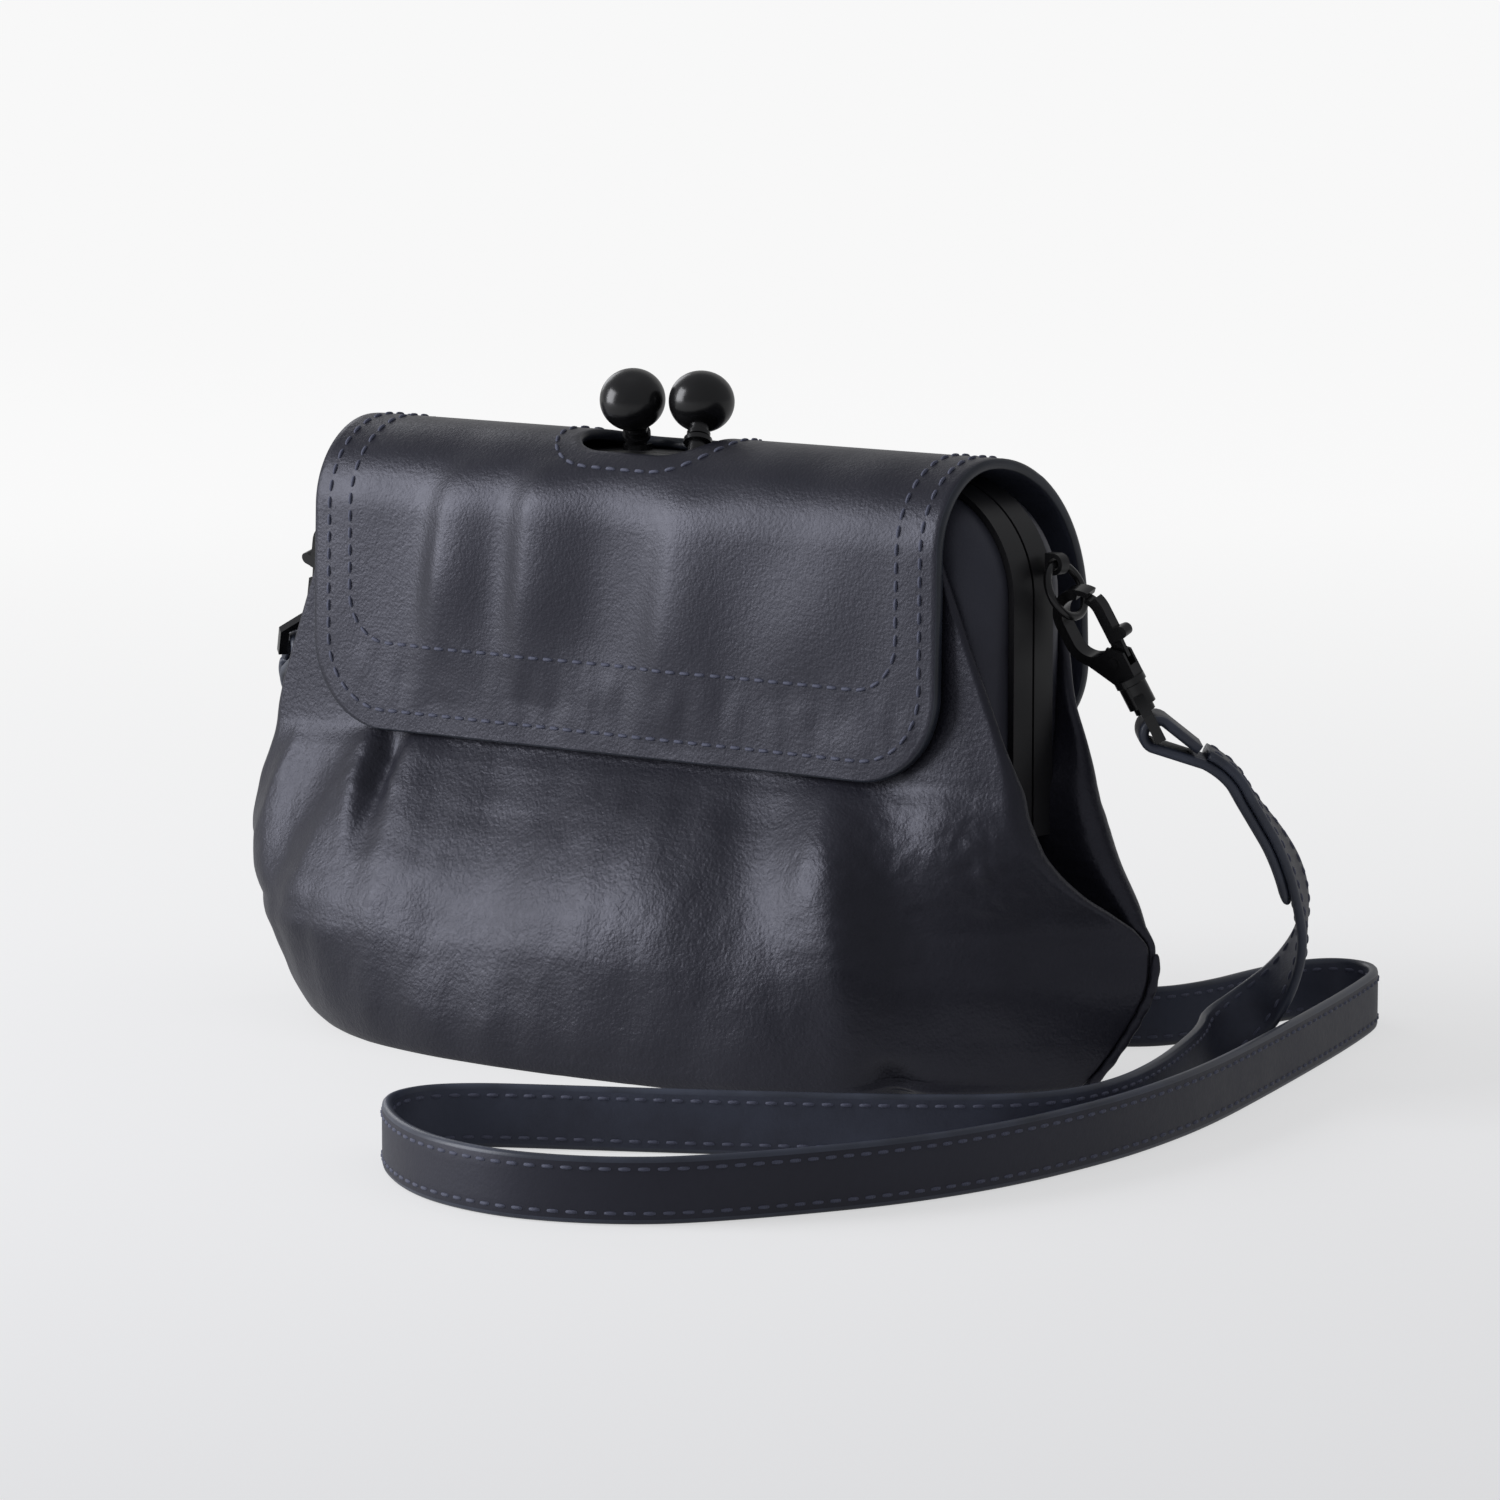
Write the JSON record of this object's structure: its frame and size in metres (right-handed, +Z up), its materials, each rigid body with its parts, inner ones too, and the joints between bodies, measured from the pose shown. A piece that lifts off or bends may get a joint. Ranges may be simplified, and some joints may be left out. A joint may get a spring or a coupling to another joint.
{
  "type": "kiss lock frame purse",
  "caption": "Soft leather crossbody purse on a hinged metal frame closed by crossing ball studs, with a draped stitched flap and a leather strap on swivel snap hooks.",
  "frame": {"origin": "on the floor under the middle of the bag, halfway between front and back panel", "axes": "+X along the width to the right as seen from the front, +Y from front to back, +Z up"},
  "size_m": [0.3192, 0.3211, 0.1677],
  "materials": {
    "pouch_leather": "smooth waxed",
    "strap_leather": "smooth waxed",
    "frame_metal": "matte black",
    "clasp_metal": "satin black",
    "hook_metal": "satin black",
    "lining_cloth": "woven",
    "board": "matte"
  },
  "bodies": {
    "bag": {"rear_frame": "frame_metal", "rear_collar": "pouch_leather", "rear_ball_stud": "clasp_metal", "rear_ball_stud_base": "clasp_metal", "left_hinge_rivet": "frame_metal", "right_hinge_rivet": "frame_metal", "flap_back": "pouch_leather", "pouch_front": "pouch_leather", "pouch_back": "pouch_leather", "pouch_base": "pouch_leather", "base_board": "board", "left_gusset": "pouch_leather", "right_gusset": "pouch_leather", "left_welt": "pouch_leather", "right_welt": "pouch_leather", "lining": "lining_cloth", "left_ring_lug": "frame_metal", "right_ring_lug": "frame_metal", "strap": "strap_leather", "left_strap_end": "strap_leather", "right_strap_end": "strap_leather", "left_eye": "hook_metal", "right_eye": "hook_metal"},
    "front_half": {"front_frame": "frame_metal", "front_collar": "pouch_leather", "front_ball_stud": "clasp_metal", "front_ball_stud_base": "clasp_metal"},
    "flap": {"flap": "pouch_leather"},
    "left_ring": {"left_ring": "hook_metal"},
    "left_hook": {"left_hook_body": "hook_metal", "left_gate_pin": "hook_metal", "left_gate_spring": "hook_metal"},
    "left_gate": {"left_gate_lever": "hook_metal"},
    "right_ring": {"right_ring": "hook_metal"},
    "right_hook": {"right_hook_body": "hook_metal", "right_gate_pin": "hook_metal", "right_gate_spring": "hook_metal"},
    "right_gate": {"right_gate_lever": "hook_metal"}
  },
  "joints": [
    {"name": "flap_lift", "type": "hinge", "parent": "bag", "child": "flap", "pos_m": [0, 0.016, 0.14692], "axis": [-1, 0, 0], "range_deg": [0, 150], "deforming": ["flap"]},
    {"name": "mouth_open", "type": "hinge", "parent": "bag", "child": "front_half", "pos_m": [0, 0, 0.056], "axis": [1, 0, 0], "range_deg": [0, 45], "deforming": ["pouch_front", "lining", "left_gusset", "right_gusset"]},
    {"name": "right_ring_swing", "type": "hinge", "parent": "bag", "child": "right_ring", "pos_m": [0.1084, 0.006, 0.127], "axis": [0, -1, 0], "range_deg": [-2.5, 3]},
    {"name": "right_hook_swivel", "type": "hinge", "parent": "bag", "child": "right_hook", "pos_m": [0.12746, 0.01206, 0.09689], "axis": [-0.359, -0.281, 0.89], "range_deg": [-6, 3]},
    {"name": "right_gate", "type": "hinge", "parent": "right_hook", "child": "right_gate", "pos_m": [0.1236, 0.00951, 0.10486], "axis": [0.0537, -0.9582, -0.2809], "range_deg": [0, 12], "stiffness_Nm_per_rad": 0.01, "springref_deg": -17.19},
    {"name": "left_ring_swing", "type": "hinge", "parent": "bag", "child": "left_ring", "pos_m": [-0.1084, 0.006, 0.127], "axis": [0, 1, 0], "range_deg": [-2.5, 3]},
    {"name": "left_hook_swivel", "type": "hinge", "parent": "bag", "child": "left_hook", "pos_m": [-0.12746, 0.01206, 0.09689], "axis": [0.359, -0.281, 0.89], "range_deg": [-3, 6]},
    {"name": "left_gate", "type": "hinge", "parent": "left_hook", "child": "left_gate", "pos_m": [-0.1236, 0.00951, 0.10486], "axis": [0.0537, 0.9582, 0.2809], "range_deg": [0, 12], "stiffness_Nm_per_rad": 0.01, "springref_deg": -17.19}
  ],
  "couplings": [
    {"joint": "mouth_open", "follows": "flap_lift", "ratio": 0.3}
  ]
}
